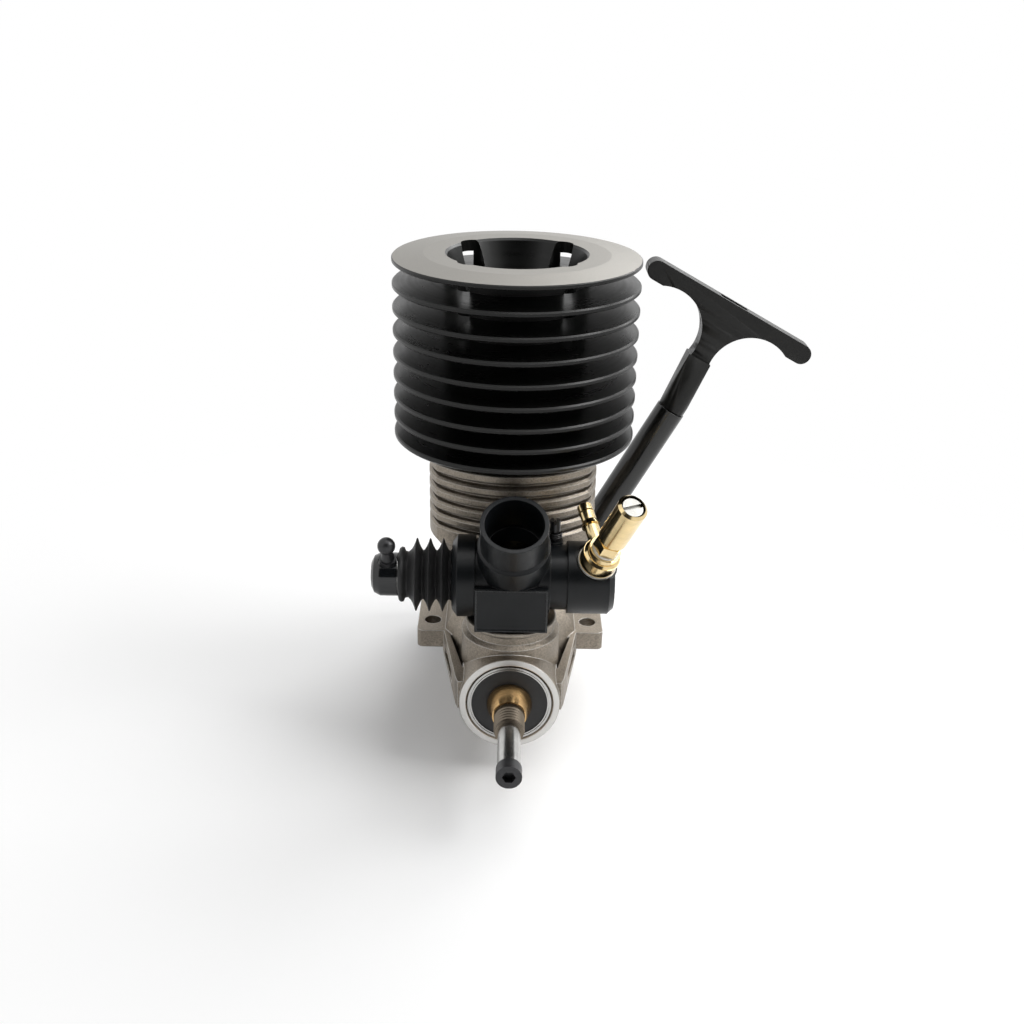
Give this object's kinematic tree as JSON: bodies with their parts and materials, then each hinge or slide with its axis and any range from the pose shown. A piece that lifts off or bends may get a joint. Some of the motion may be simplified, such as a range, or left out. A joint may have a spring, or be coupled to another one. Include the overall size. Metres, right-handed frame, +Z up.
{
  "type": "model glow engine",
  "caption": "Two-stroke glow engine for a model car, with a finned cooling head, slide carburettor with rubber boot, needle valve, threaded crank nose and pull starter.",
  "frame": {"origin": "midway between the four lug holes on the seating face of the lugs, where the cylinder axis meets the crank axis", "axes": "+Z up the cylinder to the glow plug, -Y along the crank to its nose, +X to the needle side"},
  "size_m": [0.1073, 0.1025, 0.112],
  "materials": {
    "cast_aluminium": "bead-blasted casting, warm grey",
    "black_anodised": "turned and black anodised, satin",
    "bearing_steel": "ground and polished",
    "ground_steel": "turned and ground",
    "black_oxide_steel": "black oxide",
    "plated_steel": "nickel plated",
    "machined_alloy": "machined",
    "brass": "turned, bright",
    "black_composite": "moulded, satin",
    "rubber": "matt",
    "white_nylon": "matt",
    "braided_cord": "braided"
  },
  "bodies": {
    "engine": {"crankcase": "cast_aluminium", "starter_backplate": "cast_aluminium", "cooling_head": "black_anodised", "front_bearing_outer": "bearing_steel", "rear_bearing_outer": "bearing_steel", "head_screws": "black_oxide_steel", "starter_screws": "black_oxide_steel", "pinch_bolt": "black_oxide_steel", "glow_plug": "plated_steel", "glow_plug_terminal": "plated_steel", "pinch_nut": "plated_steel", "idle_screw_spring": "plated_steel", "recoil_spring": "plated_steel", "head_gasket": "plated_steel", "head_button": "machined_alloy", "cylinder_sleeve": "brass", "needle_housing": "brass", "fuel_nipple": "brass", "spray_bar": "brass", "plug_washer": "brass", "backplate_bush": "brass", "carburettor_body": "black_composite", "slide_guide": "black_composite", "starter_case": "black_composite", "guide_tube": "black_composite", "venturi_reducer": "black_composite", "rubber_boot": "rubber", "carburettor_oring": "rubber", "backplate_seal": "rubber", "front_bearing_seal": "rubber", "banjo_washers": "white_nylon", "pull_cord": "braided_cord"},
    "crank": {"crankshaft": "ground_steel", "flywheel_collet": "brass", "clutch_screw": "black_oxide_steel", "front_bearing_inner": "bearing_steel", "rear_bearing_inner": "bearing_steel"},
    "front_ball_cage": {"front_bearing_balls": "bearing_steel"},
    "rear_ball_cage": {"rear_bearing_balls": "bearing_steel"},
    "starter_drive": {"starter_shaft": "ground_steel", "drive_plate": "black_oxide_steel"},
    "piston": {"piston": "machined_alloy", "wrist_pin": "bearing_steel", "wrist_pin_clips": "black_oxide_steel"},
    "rod": {"connecting_rod": "machined_alloy", "small_end_bush": "brass", "big_end_bush": "brass", "crank_pin": "ground_steel"},
    "throttle": {"throttle_slide": "ground_steel", "throttle_end_cap": "black_composite", "throttle_ball_stud": "black_oxide_steel"},
    "idle_stop": {"idle_stop_screw": "black_oxide_steel"},
    "low_needle": {"low_speed_needle": "brass"},
    "needle_carrier": {"needle_oring": "rubber"},
    "main_needle": {"high_speed_needle": "ground_steel"},
    "spool": {"cord_spool": "black_composite", "cord_winding": "braided_cord", "one_way_bearing": "bearing_steel"},
    "handle": {"pull_handle": "black_composite", "cord_knot": "braided_cord"}
  },
  "joints": [
    {"name": "crank_spin", "type": "hinge", "parent": "engine", "child": "crank", "pos_m": [0, -0.03, 0], "axis": [0, -1, 0], "continuous": true},
    {"name": "front_cage_spin", "type": "hinge", "parent": "engine", "child": "front_ball_cage", "pos_m": [0, -0.0348, 0], "axis": [0, -1, 0], "continuous": true},
    {"name": "rear_cage_spin", "type": "hinge", "parent": "engine", "child": "rear_ball_cage", "pos_m": [0, -0.0128, 0], "axis": [0, -1, 0], "continuous": true},
    {"name": "starter_shaft_spin", "type": "hinge", "parent": "engine", "child": "starter_drive", "pos_m": [0, 0.018, 0], "axis": [0, -1, 0], "continuous": true},
    {"name": "piston_stroke", "type": "slide", "parent": "engine", "child": "piston", "axis": [0, 0, 1], "range_m": [-0.0165, 0]},
    {"name": "rod_swing", "type": "hinge", "parent": "piston", "child": "rod", "pos_m": [0, 0, 0.03625], "axis": [0, 1, 0], "range_deg": [-17.1, 17.1]},
    {"name": "throttle_travel", "type": "slide", "parent": "engine", "child": "throttle", "axis": [1, 0, 0], "range_m": [-0.0035, 0.0035], "deforming": ["rubber_boot"]},
    {"name": "idle_stop_turn", "type": "hinge", "parent": "engine", "child": "idle_stop", "pos_m": [0.00965, -0.0218, 0.036], "axis": [0, 0, 1], "range_deg": [-720, 720]},
    {"name": "low_needle_turn", "type": "hinge", "parent": "engine", "child": "low_needle", "pos_m": [0.02, -0.0243, 0.0255], "axis": [1, 0, 0], "range_deg": [-720, 720]},
    {"name": "main_needle_feed", "type": "slide", "parent": "engine", "child": "needle_carrier", "axis": [0.2754, -0.4867, 0.829], "range_m": [-0.00125, 0.00125]},
    {"name": "main_needle_turn", "type": "hinge", "parent": "needle_carrier", "child": "main_needle", "pos_m": [0.02408, -0.03647, 0.04623], "axis": [0.2754, -0.4867, 0.829], "range_deg": [-900, 900]},
    {"name": "handle_pull", "type": "slide", "parent": "engine", "child": "handle", "axis": [0.4802, 0, 0.8771], "range_m": [0, 0.3], "stiffness_N_per_m": 15, "springref_m": -0.15, "deforming": ["pull_cord"]},
    {"name": "spool_spin", "type": "hinge", "parent": "engine", "child": "spool", "pos_m": [0, 0.031, 0], "axis": [0, -1, 0], "range_deg": [0, 1290], "deforming": ["recoil_spring"]}
  ],
  "couplings": [
    {"joint": "front_cage_spin", "follows": "crank_spin", "ratio": 0.38923},
    {"joint": "rear_cage_spin", "follows": "crank_spin", "ratio": 0.43056},
    {"joint": "starter_shaft_spin", "follows": "crank_spin", "ratio": 1},
    {"joint": "main_needle_turn", "follows": "main_needle_feed", "rad_per_m": 12566},
    {"joint": "spool_spin", "follows": "handle_pull", "rad_per_m": 74.074}
  ]
}
